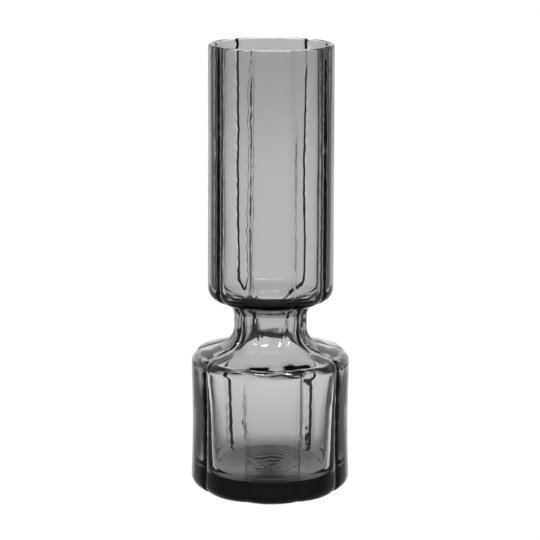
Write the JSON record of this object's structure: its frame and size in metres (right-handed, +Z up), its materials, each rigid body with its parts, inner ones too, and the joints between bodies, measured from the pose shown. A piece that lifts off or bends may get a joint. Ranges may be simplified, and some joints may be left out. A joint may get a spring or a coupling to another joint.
{
  "type": "vase",
  "caption": "Tall smoke-grey glass vase: a panelled cylinder on a narrow open neck above a wider, heavy-bottomed panelled body.",
  "frame": {"origin": "middle of the flat underside, on the surface that the vase stands on", "axes": "+Z up along the vase's axis, out of its mouth; -Y is the side that faces a viewer in front, and +X is to that viewer's right"},
  "size_m": [0.1034, 0.1028, 0.29],
  "materials": {
    "smoke_glass": "clear, fire-polished, neutral smoke-grey tint through the whole thickness"
  },
  "bodies": {
    "root": {"glass_body": "smoke_glass"}
  },
  "joints": []
}
